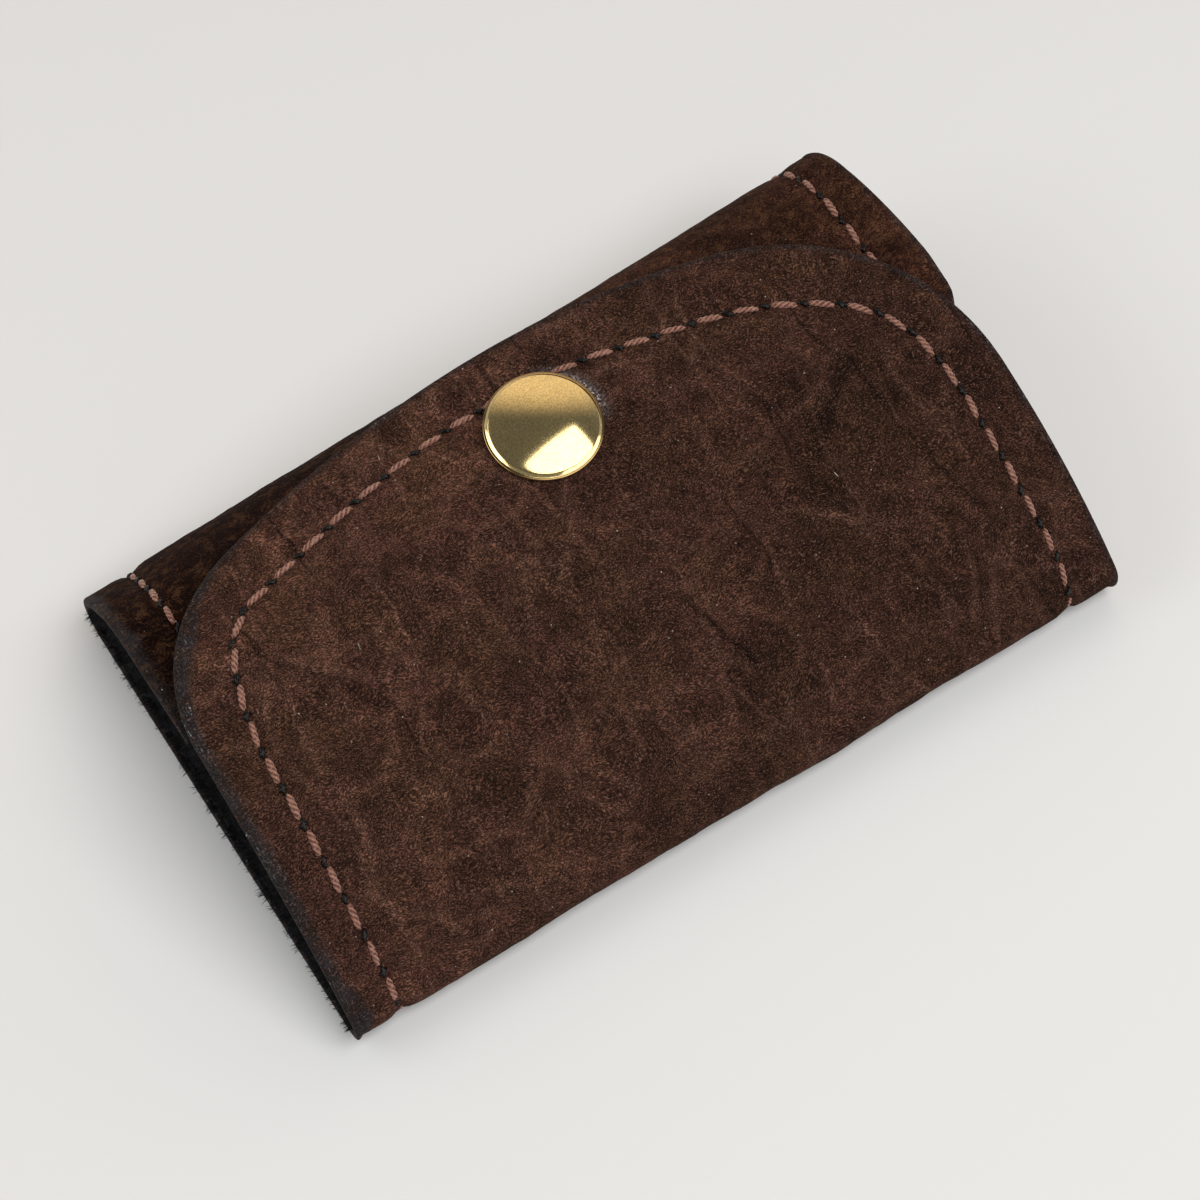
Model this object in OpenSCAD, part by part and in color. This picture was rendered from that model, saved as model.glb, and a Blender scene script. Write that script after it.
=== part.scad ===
// Tri-fold leather key case, closed and lying on its back panel.
// X runs along the case, -Y is the near fold, +Y the far fold, +Z is up.
// Every sheet follows two paths over the grain side: the near path runs from the middle of the back
// panel towards -Y, round the near fold and up the outer flap; the far path runs towards +Y, round
// the far fold and back over the inner flap.

/* [Case] */
// Length of the case along the folds
case_length = 112; // [90:1:140]
// Width of the flat back panel from its middle to the near fold
near_half = 32.8; // [29:0.1:38]
// Width of the flat back panel from its middle to the far fold strip
far_half = 24.1; // [22:0.1:25]
// Length of leather used up in the near fold
near_fold_length = 8; // [7.6:0.1:9]
// Length of the outer flap from the near fold to the middle of its free edge
flap_length = 65.5; // [62:0.5:69]
// Length of leather from the middle of the back panel to the free edge of the inner flap
far_reach = 84; // [82:0.5:88]

/* [Sheets] */
// Thickness of the leather
leather = 1.45; // [1.1:0.05:1.5]
// Thickness of the lining
lining = 0.95; // [0.5:0.05:1]
// Glue line between leather and lining
glue = 0.1; // [0.05:0.05:0.15]
// Distance that the lining is trimmed back from the leather edge
lining_trim = 0.6; // [0.2:0.1:1.5]
// Radius of the outer flap's round corner at the open end
open_corner = 24; // [15:1:26]
// Radius of the outer flap's round corner over the key plate
plate_end_corner = 32; // [20:1:34]
// Radius of the gentle curve of the flap's free edge
flap_curve = 120; // [110:5:200]
// Gap between two sheets that meet at a fold
seam = 0.1; // [0.05:0.05:0.3]

/* [Snap fastener] */
// Distance of the snap from the middle of the case, along the folds
snap_offset = 0.6; // [-3:0.1:3]
// Distance of the snap from the free edge of the outer flap
snap_setback = 14.2; // [12:0.1:16]
// Turn in degrees by which the pull of the flap tips the closed snap out of square
snap_pull = 3; // [0:0.5:4]
// Height between the two flaps that the closed snap takes up
snap_height = 2.6; // [2.3:0.1:3.2]
// Diameter of the domed cap
cap_diameter = 15; // [12:0.5:17]
// Height of the dome over its rim
cap_dome = 1.7; // [1:0.1:2.5]
// Height of the rolled rim
cap_rim = 1.1; // [0.4:0.1:1.4]
// Diameter of the socket
socket_diameter = 11.4; // [9:0.2:13]
// Height of the socket below the lining
socket_height = 1.8; // [1.4:0.1:1.8]
// Height of the socket's rolled rim
socket_rim = 0.7; // [0.4:0.1:1]
// Diameter of the stud's knob
knob_diameter = 4; // [3:0.1:5]
// Diameter of the tubes that pass through the sheets
post_diameter = 4.6; // [4:0.1:5.5]
// Thickness of the stud's flange
flange = 0.5; // [0.3:0.05:0.5]

/* [Key plate] */
// Number of key hooks
hook_count = 6; // [3:1:6]
// Distance between neighbouring hooks
hook_pitch = 8.4; // [8:0.1:8.6]
// Distance of the plate's outer edge from the end of the case
plate_setback = 10; // [8:0.5:14]
// Width of the plate along the case
plate_width = 10; // [8.5:0.5:12]
// Thickness of the plate
plate_thickness = 0.8; // [0.6:0.1:1]
// Diameter of the rod that carries the hooks
rod_diameter = 1.6; // [1.2:0.1:1.8]
// Outer diameter of the plate's knuckles
knuckle_diameter = 3.4; // [3:0.1:3.6]
// Length of one knuckle along the rod
knuckle_length = 3.4; // [2.8:0.1:3.6]
// Radius of the plate's rounded corners
plate_corner = 2.5; // [1.5:0.1:3]
// Diameter of a rivet's shank
rivet_diameter = 2.6; // [2:0.1:3]
// Diameter of a rivet's head
rivet_head = 5; // [4:0.1:5.4]

/* [Hooks] */
// Length of a hook from the rod to the end of its loop
hook_length = 25.3; // [22:0.1:30]
// Free width inside a hook's loop
loop_inside = 4.2; // [4.1:0.1:4.3]
// Diameter of the hook's wire
wire = 1.2; // [1:0.1:1.3]
// Diameter of the gate's wire
gate_wire = 1; // [0.8:0.1:1.1]
// Diameter of the gate's pivot pin
gate_pin = 0.7; // [0.5:0.1:0.8]
// Running clearance on a radius
running = 0.08; // [0.04:0.01:0.1]

/* [Hidden] */

// Smoothness of round parts
round_sides = 64;
small_sides = 32;
// Overrun of a cutting tool past what it cuts
overrun = 0.2;
// Clearance between metal parts that only lie against each other
laid = 0.05;
// Room between the snap's flange and the fold beside it
snap_margin = 0.4;

// Facets of the sheets along the case, across a corner, along a flap and round a fold
bays = 8;
corner_bays = 4;
flap_bays = 10;
fold_bays = 8;

half_length = case_length / 2;
near_end = near_half + near_fold_length;
flap_end = near_end + flap_length;
// Leather, glue and lining together
stack = leather + glue + lining;

// Each path is a row of arcs: the share of its length that each arc takes, and how far it turns
// in degrees, at the open left end, in the middle and at the right end, over the key plate.
// The near path starts flat and goes round the near fold first.
flap_arc_shares = [0.183, 0.183, 0.183, 0.214, 0.237];
near_open_angles = [9, 9, 8, 20, 17];
near_mid_angles = [9, 9, 7, 8, 10];
near_plate_angles = [8, 8, 5, 6, 6];
far_open_shares = [0.345, 0.11, 0.11, 0.115, 0.105, 0.215];
far_mid_shares = [0.32, 0.2, 0.165, 0.1, 0.1, 0.115];
far_plate_shares = [0.292, 0.22, 0.211, 0.08, 0.1, 0.097];
far_open_angles = [0, 130, 10, 38, -2, 4];
far_mid_angles = [0, 125, 54, 8, 4, 5];
far_plate_angles = [0, 92, 87, 9, 9, 2];
// Where the far fold is parted, as shares of the length up to the inner flap
spine_from_share = 0.641;
spine_to_share = 0.803;
// Free edge of the inner flap at its two ends and in the middle, as shares of the far reach
inner_edge_open_share = 0.865;
inner_edge_mid_share = 0.925;
inner_edge_plate_share = 0.995;

// A value that runs smoothly through three stations along the case
function mixed(x, open, mid, plate) =
    let (t = x / half_length)
    mid + t * (plate - open) / 2 + t * t * ((plate + open) / 2 - mid);

near_arcs = concat([near_half, near_fold_length], [for (share = flap_arc_shares) share * flap_length]);
function near_angles(x, fold) =
    concat([0, fold], mixed(x, near_open_angles, near_mid_angles, near_plate_angles));
function far_arcs(x) = far_reach * mixed(x, far_open_shares, far_mid_shares, far_plate_shares);
function far_angles(x) = mixed(x, far_open_angles, far_mid_angles, far_plate_angles);

// Smallest turn in degrees that is drawn as an arc
least_angle = 0.01;
// Step of one arc: distance out, distance up and the heading after length s of an arc
function stepped(at, s, len, turn) =
    let (a = at[2], b = a + turn * s / len, r = len / turn * 180 / PI)
    abs(turn) < least_angle
        ? [at[0] + s * cos(a), at[1] + s * sin(a), a]
        : [at[0] + r * (sin(b) - sin(a)), at[1] + r * (cos(a) - cos(b)), b];
// Distance out from the middle, height and heading at length s along a row of arcs
function walked(lens, turns, s, i = 0, at = [0, 0, 0]) =
    s <= lens[i] || i == len(lens) - 1
        ? stepped(at, s, lens[i], turns[i])
        : walked(lens, turns, s - lens[i], i + 1, stepped(at, lens[i], lens[i], turns[i]));

function near_walk(x, s, fold) = walked(near_arcs, near_angles(x, fold), s);
function far_walk(x, s) = walked(far_arcs(x), far_angles(x), s);

// The snap's axis is square to the outer flap but for its pull: its distance out, height and tilt for
// a turn of the near fold, and the place of a point of the far path across and along it
snap_s = flap_end - snap_setback;
function snap_frame(fold) =
    let (at = near_walk(snap_offset, snap_s, fold)) [-at[0], at[1], 180 - at[2] + snap_pull];
function across(at, f) = (at[0] - f[0]) * cos(f[2]) + (at[1] - f[1]) * sin(f[2]);
function along(at, f) = (at[1] - f[1]) * cos(f[2]) - (at[0] - f[0]) * sin(f[2]);
// Both are found by halving: the length of the far path at which the inner flap's grain side crosses
// the snap's axis, and the turn of the near fold that leaves the snap's height between the flaps
halvings = 16;
function crossing(f, low, high, n = halvings) = let (s = (low + high) / 2)
    n == 0 ? s : across(far_walk(snap_offset, s), f) > 0 ? crossing(f, s, high, n - 1)
                                                         : crossing(f, low, s, n - 1);
function crossed(fold) = let (f = snap_frame(fold)) crossing(f, far_reach / 2, far_reach);
function stud_depth(fold) = -along(far_walk(snap_offset, crossed(fold)), snap_frame(fold));
function closed_fold(low, high, n = halvings) = let (fold = (low + high) / 2)
    n == 0 ? fold : stud_depth(fold) > stack + snap_height ? closed_fold(fold, high, n - 1)
                                                           : closed_fold(low, fold, n - 1);
// Turns of the near fold between which the closed one is looked for
least_fold_angle = 110;
greatest_fold_angle = 172;
fold_angle = closed_fold(least_fold_angle, greatest_fold_angle);
snap_crossing = crossed(fold_angle);
stud_base = -stud_depth(fold_angle);

// Point of a path at x and length s, a depth below the grain side; side is -1 near, 1 far
function skin(side, x, s, depth) =
    let (at = side < 0 ? near_walk(x, s, fold_angle) : far_walk(x, s))
    [x, side * (at[0] - depth * sin(at[2])), at[1] + depth * cos(at[2])];

// Outline of the outer flap: a gentle curve between two round corners, the one over the key plate
// rounder than the other
function corner_radius(x) = x < 0 ? open_corner : plate_end_corner;
function corner_x(x) = half_length - corner_radius(x);
function corner_s(x) = flap_end - flap_curve
    + sqrt(pow(flap_curve - corner_radius(x), 2) - pow(corner_x(x), 2));
function curve_share(x) = flap_curve / (flap_curve - corner_radius(x));
function flap_edge(x) =
    abs(x) < corner_x(x) * curve_share(x)
        ? flap_end - flap_curve + sqrt(flap_curve * flap_curve - x * x)
        : corner_s(x) + sqrt(max(0, pow(corner_radius(x), 2) - pow(abs(x) - corner_x(x), 2)));
function inner_edge(x) = far_reach *
    mixed(x, inner_edge_open_share, inner_edge_mid_share, inner_edge_plate_share);

// Stations along the case; the flap has more of them round its corners
function stations(trim) = [for (i = [0:bays]) (half_length - trim) * (2 * i / bays - 1)];
function corner_start(x) = asin(corner_x(x) / (flap_curve - corner_radius(x)));
function corner_stations(end, trim) = [for (i = [0:corner_bays])
    (corner_x(end) + corner_radius(end) * sin(90 - (90 - corner_start(end)) * i / corner_bays))
        * (half_length - trim) / half_length];
function flap_stations(trim) =
    let (left = corner_stations(-1, trim), right = corner_stations(1, trim),
        span = left[corner_bays] + right[corner_bays])
    concat([for (i = [0:corner_bays]) -left[i]],
        [for (i = [1:bays - 1]) span * i / bays - left[corner_bays]],
        [for (i = [corner_bays:-1:0]) right[i]]);

// A sheet between two depths below the grain side. from and to hold a length for each station.
module sheet(side, xs, from, to, rows, top, bottom) {
    n = len(xs);
    m = rows + 1;
    points = [for (depth = [top, bottom]) for (i = [0:n - 1]) for (j = [0:rows])
        skin(side, xs[i], from[i] + (to[i] - from[i]) * j / rows, depth)];
    function at(layer, i, j) = layer * n * m + i * m + j;
    // Both sides and both ends are halved along the same diagonals, so that neighbours match
    outer = [for (i = [0:n - 2]) for (j = [0:rows - 1]) each [
        [at(0, i, j), at(0, i, j + 1), at(0, i + 1, j + 1)],
        [at(0, i, j), at(0, i + 1, j + 1), at(0, i + 1, j)]]];
    inner = [for (i = [0:n - 2]) for (j = [0:rows - 1]) each [
        [at(1, i, j), at(1, i + 1, j + 1), at(1, i, j + 1)],
        [at(1, i, j), at(1, i + 1, j), at(1, i + 1, j + 1)]]];
    ends = [for (i = [0:n - 2]) each [
        [at(0, i, 0), at(0, i + 1, 0), at(1, i + 1, 0)],
        [at(0, i, 0), at(1, i + 1, 0), at(1, i, 0)],
        [at(0, i + 1, rows), at(0, i, rows), at(1, i + 1, rows)],
        [at(0, i, rows), at(1, i, rows), at(1, i + 1, rows)]]];
    sides = [for (j = [0:rows - 1]) each [
        [at(0, 0, j + 1), at(0, 0, j), at(1, 0, j), at(1, 0, j + 1)],
        [at(0, n - 1, j), at(0, n - 1, j + 1), at(1, n - 1, j + 1), at(1, n - 1, j)]]];
    faces = concat(outer, inner, ends, sides);
    polyhedron(points,
        side < 0 ? faces : [for (f = faces) [for (k = [len(f) - 1:-1:0]) f[k]]], convexity = 8);
}
// A sheet of constant length all along the case
module strip(side, s0, s1, rows, top, bottom, trim) {
    xs = stations(trim);
    sheet(side, xs, [for (x = xs) s0], [for (x = xs) s1], rows, top, bottom);
}
lining_top = leather + glue;
// Thickness of the washers under the rivets, which lie in a recess of the leather
washer = flange;

module back_leather() {
    color([0.33, 0.23, 0.18])
        difference() {
            translate([-half_length, seam - near_half, 0])
                cube([case_length, near_half + far_half - 2 * seam, leather]);
            rivet_places() translate([0, 0, leather - washer - laid])
                cylinder(h = washer + overrun, d = rivet_head + 2 * laid, $fn = round_sides);
        }
}
module back_lining() {
    color([0.08, 0.08, 0.09])
        difference() {
            translate([lining_trim - half_length, seam - near_half, lining_top])
                cube([case_length - 2 * lining_trim, near_half + far_half - 2 * seam, lining]);
            rivet_places() cylinder(h = stack + overrun, d = rivet_diameter + 2 * laid, $fn = small_sides);
        }
}
module outer_flap_leather() {
    xs = flap_stations(0);
    color([0.38, 0.27, 0.21])
        difference() {
            sheet(-1, xs, [for (x = xs) near_end + seam], [for (x = xs) flap_edge(x)],
                flap_bays, 0, leather);
            snap_bore();
            snap_seat(0, cap_diameter);
        }
}
module outer_flap_lining() {
    xs = flap_stations(lining_trim);
    color([0.08, 0.08, 0.09])
        difference() {
            sheet(-1, xs, [for (x = xs) near_end + seam], [for (x = xs) flap_edge(x) - lining_trim],
                flap_bays, lining_top, stack);
            snap_bore();
            snap_seat(-2 * stack, socket_diameter);
        }
}
module near_fold_leather() {
    color([0.36, 0.25, 0.19])
        strip(-1, near_half, near_end, fold_bays, 0, leather, 0);
}
module near_fold_lining() {
    color([0.08, 0.08, 0.09])
        strip(-1, near_half, near_end, fold_bays, lining_top, stack, lining_trim);
}

// The inner flap starts beside the snap's flange
inner_from = snap_crossing - socket_diameter / 2 - snap_margin;
spine_from = inner_from * spine_from_share;
spine_to = inner_from * spine_to_share;

module far_fold_lower_leather() {
    color([0.29, 0.2, 0.14]) strip(1, far_half, spine_from - seam, fold_bays, 0, leather, 0);
}
module far_spine_leather() {
    color([0.29, 0.2, 0.14]) strip(1, spine_from, spine_to, fold_bays / 2, 0, leather, 0);
}
module far_fold_upper_leather() {
    color([0.29, 0.2, 0.14]) strip(1, spine_to + seam, inner_from - seam, fold_bays, 0, leather, 0);
}
module inner_flap_leather() {
    xs = stations(0);
    color([0.29, 0.2, 0.14])
        difference() {
            sheet(1, xs, [for (x = xs) inner_from], [for (x = xs) inner_edge(x)],
                flap_bays / 2, 0, leather);
            snap_bore();
            snap_seat(stud_base, socket_diameter);
        }
}
module far_fold_lower_lining() {
    color([0.08, 0.08, 0.09])
        strip(1, far_half, spine_from - seam, fold_bays, lining_top, stack, lining_trim);
}
module far_spine_lining() {
    color([0.08, 0.08, 0.09])
        strip(1, spine_from, spine_to, fold_bays / 2, lining_top, stack, lining_trim);
}
module far_fold_upper_lining() {
    color([0.08, 0.08, 0.09])
        strip(1, spine_to + seam, inner_from - seam, fold_bays, lining_top, stack, lining_trim);
}
module inner_flap_lining() {
    xs = stations(lining_trim);
    color([0.08, 0.08, 0.09])
        difference() {
            sheet(1, xs, [for (x = xs) inner_from], [for (x = xs) inner_edge(x) - lining_trim],
                flap_bays / 2, lining_top, stack);
            snap_bore();
            snap_seat(stud_base - 2 * stack, socket_diameter);
        }
}

// Snap fastener, with z = 0 on the grain side of the outer flap
snap_at = skin(-1, snap_offset, snap_s, 0);
// The flap also climbs a little along the case, measured over the cap's width
snap_rise = skin(-1, snap_offset + cap_diameter / 2, snap_s, 0)
    - skin(-1, snap_offset - cap_diameter / 2, snap_s, 0);
snap_lean = -atan(snap_rise[2] / cap_diameter);
module on_snap() {
    translate(snap_at) rotate([snap_frame(fold_angle)[2], snap_lean, 0]) children();
}
socket_mouth = -stack - laid - socket_height;
// Share of the socket's height that the knob reaches up into it
knob_share = 0.6;
knob_height = socket_mouth - stud_base - laid - flange + socket_height * knob_share;
// Width of the socket's throat over the knob, and of the knob's nose and dimple under it
throat_share = 1.3;
nose_share = 0.85;
dimple_share = 0.4;
throat = knob_diameter * throat_share;
// The cap's tube ends inside the socket, above the knob
tube_end = socket_mouth + socket_height * (1 + knob_share) / 2;

// The bore through each sheet, and the flat seat that a piece of the snap presses into one side of it
module snap_bore() {
    on_snap() translate([0, 0, stud_base - 2 * stack])
        cylinder(h = 3 * stack - stud_base, d = post_diameter + 2 * laid, $fn = small_sides);
}
module snap_seat(z, d) {
    on_snap() translate([0, 0, z]) cylinder(h = stack, d = d + 2 * laid, $fn = round_sides);
}
module snap_cap() {
    r = cap_diameter / 2;
    // Radius of the sphere that the dome is a slice of
    dome_r = (r * r + cap_dome * cap_dome) / (2 * cap_dome);
    bead = cap_rim / 2;
    color([0.85, 0.7, 0.38]) on_snap() {
        translate([0, 0, laid]) {
            translate([0, 0, bead]) difference() {
                translate([0, 0, cap_dome - dome_r]) sphere(dome_r, $fn = 2 * round_sides);
                translate([0, 0, -dome_r * 2]) cube(4 * dome_r, center = true);
            }
            cylinder(h = bead, r = r - bead, $fn = round_sides);
            translate([0, 0, bead]) rotate_extrude($fn = round_sides)
                translate([r - bead, 0]) circle(bead, $fn = small_sides);
        }
        translate([0, 0, tube_end])
            cylinder(h = laid + bead - tube_end, d = post_diameter, $fn = small_sides);
    }
}
module snap_socket() {
    bead = socket_rim / 2;
    color([0.75, 0.6, 0.32]) on_snap() translate([0, 0, socket_mouth]) difference() {
        union() {
            cylinder(h = socket_height, r = socket_diameter / 2 - socket_rim, $fn = round_sides);
            translate([0, 0, socket_height - socket_rim])
                cylinder(h = socket_rim, r = socket_diameter / 2 - bead, $fn = round_sides);
            translate([0, 0, socket_height - bead]) rotate_extrude($fn = round_sides)
                translate([socket_diameter / 2 - bead, 0]) circle(bead, $fn = small_sides);
        }
        translate([0, 0, -overrun])
            cylinder(h = socket_height + 2 * overrun, d = throat, $fn = small_sides);
    }
}
// Wire ring inside the socket that grips the neck of the stud
module snap_spring() {
    ring = throat / 2 - flange / 2 - laid;
    color([0.8, 0.8, 0.82]) on_snap() translate([0, 0, socket_mouth + flange / 2])
        rotate_extrude(angle = 320, $fn = round_sides)
            translate([ring, 0]) circle(flange / 2, $fn = small_sides);
}
module snap_stud() {
    nose = knob_diameter * nose_share;
    color([0.75, 0.6, 0.32]) on_snap() translate([0, 0, stud_base + laid]) difference() {
        union() {
            cylinder(h = flange, d = socket_diameter, $fn = round_sides);
            cylinder(h = flange + knob_height / 2, d = knob_diameter, $fn = small_sides);
            translate([0, 0, flange + knob_height / 2])
                cylinder(h = knob_height / 2, d1 = knob_diameter, d2 = nose, $fn = small_sides);
        }
        translate([0, 0, flange])
            cylinder(h = knob_height + overrun, d = knob_diameter * dimple_share, $fn = small_sides);
    }
}
module snap_post() {
    color([0.75, 0.6, 0.32]) on_snap() translate([0, 0, stud_base - stack - laid - flange]) difference() {
        union() {
            cylinder(h = flange, d = socket_diameter, $fn = round_sides);
            cylinder(h = flange + laid + stack, d = post_diameter, $fn = small_sides);
        }
        translate([0, 0, -overrun])
            cylinder(h = flange + stack, d = post_diameter * dimple_share, $fn = small_sides);
    }
}

// Key plate: a pressed strip riveted to the lining, with knuckles that hold the hooks' rod
plate_x = half_length - plate_setback - plate_width;
plate_span = hook_count * hook_pitch;
// The plate's middle lies part of the way from the middle of the case to that of the flat back
plate_y_share = 0.46;
plate_y = plate_y_share * (far_half - near_half) / 2;
knuckle_r = knuckle_diameter / 2;
rod_z = stack + laid + knuckle_r;
rib = plate_thickness / 2;
// Free length between two knuckles, and the play of a hook's eye in it
slot = hook_pitch - knuckle_length;
side_play = 0.2;
// Where the rivets stand, as shares of the plate's width and of its span from the middle
rivet_x_share = 0.6;
rivet_y_share = 0.42;
function hook_y(i) = plate_y + (i - (hook_count + 1) / 2) * hook_pitch;

module rivet_places() {
    for (end = [-1, 1])
        translate([plate_x + plate_width * rivet_x_share, plate_y + end * plate_span * rivet_y_share, 0])
            children();
}
module key_plate() {
    front = knuckle_r + side_play;
    length = plate_span + knuckle_length;
    color([0.72, 0.72, 0.74]) difference() {
        translate([0, plate_y, 0]) union() {
            translate([plate_x + front, -length / 2, stack + laid])
                cube([plate_width - front - plate_corner, length, plate_thickness]);
            translate([plate_x + front, plate_corner - length / 2, stack + laid])
                cube([plate_width - front, length - 2 * plate_corner, plate_thickness]);
            for (end = [-1, 1])
                translate([plate_x + plate_width, end * length / 2, stack + laid])
                    translate([-plate_corner, -end * plate_corner, 0])
                        cylinder(h = plate_thickness, r = plate_corner, $fn = round_sides);
            // Stiffening rib between the rivets
            translate([plate_x + plate_width - plate_corner, 0, stack + laid + plate_thickness])
                rotate([90, 0, 0])
                    cylinder(h = 2 * (plate_span * rivet_y_share - rivet_head), r = rib, center = true,
                        $fn = small_sides);
            for (k = [0:hook_count]) translate([plate_x, (k - hook_count / 2) * hook_pitch, 0]) {
                translate([0, -knuckle_length / 2, stack + laid])
                    cube([front + overrun, knuckle_length, plate_thickness]);
                translate([0, 0, rod_z]) rotate([90, 0, 0])
                    cylinder(h = knuckle_length, r = knuckle_r, center = true, $fn = round_sides);
            }
        }
        translate([plate_x, plate_y, rod_z]) rotate([90, 0, 0])
            cylinder(h = length + 2 * overrun, d = rod_diameter + 2 * laid, center = true,
                $fn = small_sides);
        rivet_places() cylinder(h = 2 * (stack + plate_thickness), d = rivet_diameter + 2 * laid,
            $fn = small_sides);
    }
}
module plate_rod() {
    color([0.8, 0.8, 0.82]) translate([plate_x, plate_y, rod_z]) rotate([90, 0, 0])
        cylinder(h = plate_span + knuckle_length + rod_diameter, d = rod_diameter, center = true,
            $fn = small_sides);
}
module plate_rivets() {
    head_z = stack + 2 * laid + plate_thickness;
    color([0.8, 0.8, 0.82]) rivet_places() {
        translate([0, 0, leather - washer]) cylinder(h = head_z - leather + washer + rib,
            d = rivet_diameter, $fn = small_sides);
        translate([0, 0, head_z]) intersection() {
            cylinder(h = rib * 2, d = rivet_head, $fn = round_sides);
            translate([0, 0, rib * 2 - rivet_head]) sphere(rivet_head, $fn = round_sides);
        }
    }
}
module rivet_washers() {
    color([0.7, 0.7, 0.72]) rivet_places() translate([0, 0, leather - washer]) difference() {
        cylinder(h = washer, d = rivet_head, $fn = round_sides);
        translate([0, 0, -overrun])
            cylinder(h = washer + 2 * overrun, d = rivet_diameter + 2 * laid, $fn = small_sides);
    }
}

// Hooks: u runs from the rod towards the open end, v across the hook
loop_r = (loop_inside + wire) / 2;
eye_r = knuckle_r - laid;
// Neck between the eye and the loop
neck = wire;
loop_u = eye_r + neck + loop_r;
end_u = hook_length - loop_r - wire / 2;
// Straight wire past the far bend, which the gate's end meets
nose_length = 2 * wire;
// Widths of the neck, of the ears that hold the gate and of the gate's flat eye between them,
// as shares of the wire
neck_share = 1.4;
ear_share = 1.4;
gate_eye_share = 0.4;
pivot_u = loop_u + wire;
pivot_ear = wire * ear_share / 2;
gate_eye = wire * gate_eye_share;
// Turn of the bend beside the neck, which stops short of the gate's ears
bend_angle = 160;

module on_hook(i) {
    translate([plate_x, hook_y(i), rod_z]) rotate([0, 0, 180]) children();
}
module side_wire(u0, u1, v, d) {
    translate([u0, v, 0]) rotate([0, 90, 0]) cylinder(h = u1 - u0, d = d, $fn = small_sides);
}
module hook(i) {
    color([0.78, 0.78, 0.8]) on_hook(i) difference() {
        union() {
            rotate([90, 0, 0])
                cylinder(h = slot - 2 * side_play, r = eye_r, center = true, $fn = round_sides);
            side_wire(rod_diameter, loop_u - loop_r, 0, wire * neck_share);
            translate([loop_u, 0, 0]) rotate([0, 0, 90])
                rotate_extrude(angle = bend_angle, $fn = round_sides)
                    translate([loop_r, 0]) circle(d = wire, $fn = small_sides);
            side_wire(loop_u, end_u, loop_r, wire);
            translate([end_u, 0, 0]) rotate([0, 0, -90])
                rotate_extrude(angle = 180, $fn = round_sides)
                    translate([loop_r, 0]) circle(d = wire, $fn = small_sides);
            side_wire(end_u - nose_length, end_u, -loop_r, wire);
            translate([end_u - nose_length, -loop_r, 0]) sphere(d = wire, $fn = small_sides);
            for (side = [-1, 1])
                translate([0, 0, side * (wire + gate_eye + 2 * laid) / 4])
                    linear_extrude((wire - gate_eye - 2 * laid) / 2, center = true) {
                        translate([pivot_u, -loop_r]) circle(pivot_ear, $fn = small_sides);
                        translate([pivot_u - 2 * wire, -loop_r - pivot_ear])
                            square([2 * wire, 2 * pivot_ear]);
                    }
            translate([pivot_u, -loop_r, 0])
                cylinder(h = wire, d = gate_pin, center = true, $fn = small_sides);
        }
        rotate([90, 0, 0]) cylinder(h = slot + overrun, r = rod_diameter / 2 + running,
            center = true, $fn = small_sides);
    }
}
module gate(i) {
    clear = pivot_ear + 2 * running;
    color([0.7, 0.7, 0.72]) on_hook(i) difference() {
        union() {
            translate([pivot_u, -loop_r, 0])
                cylinder(h = gate_eye, r = pivot_ear, center = true, $fn = small_sides);
            translate([pivot_u, -loop_r - gate_eye / 2, -gate_eye / 2])
                cube([clear + gate_wire / 2, gate_eye, gate_eye]);
            side_wire(pivot_u + clear, end_u - nose_length - wire / 2 - 2 * running, -loop_r, gate_wire);
        }
        translate([pivot_u, -loop_r, 0])
            cylinder(h = wire, r = gate_pin / 2 + running, center = true, $fn = small_sides);
    }
}

back_leather();
outer_flap_leather();
inner_flap_leather();
near_fold_leather();
far_fold_lower_leather();
far_spine_leather();
far_fold_upper_leather();
back_lining();
outer_flap_lining();
inner_flap_lining();
near_fold_lining();
far_fold_lower_lining();
far_spine_lining();
far_fold_upper_lining();
snap_cap();
snap_socket();
snap_spring();
snap_stud();
snap_post();
key_plate();
plate_rod();
plate_rivets();
rivet_washers();
for (i = [1:hook_count]) {
    hook(i);
    gate(i);
}
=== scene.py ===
import math
import random

import bmesh
import bpy
import numpy as np
from mathutils import Matrix, Vector, noise


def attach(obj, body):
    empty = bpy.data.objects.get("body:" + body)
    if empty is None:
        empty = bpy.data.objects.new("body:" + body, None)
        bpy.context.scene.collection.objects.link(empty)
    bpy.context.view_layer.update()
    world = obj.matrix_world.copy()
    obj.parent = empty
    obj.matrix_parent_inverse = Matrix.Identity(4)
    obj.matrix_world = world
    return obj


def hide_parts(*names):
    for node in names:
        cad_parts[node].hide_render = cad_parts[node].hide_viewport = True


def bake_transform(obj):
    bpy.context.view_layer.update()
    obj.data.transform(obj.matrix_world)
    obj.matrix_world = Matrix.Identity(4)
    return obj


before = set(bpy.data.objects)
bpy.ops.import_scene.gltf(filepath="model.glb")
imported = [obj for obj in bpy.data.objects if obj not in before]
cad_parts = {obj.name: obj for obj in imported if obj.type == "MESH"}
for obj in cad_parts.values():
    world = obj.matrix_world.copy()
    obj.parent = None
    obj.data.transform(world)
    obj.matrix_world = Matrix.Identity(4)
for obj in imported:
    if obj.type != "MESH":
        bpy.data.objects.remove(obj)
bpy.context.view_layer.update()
mm = 0.001

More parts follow.
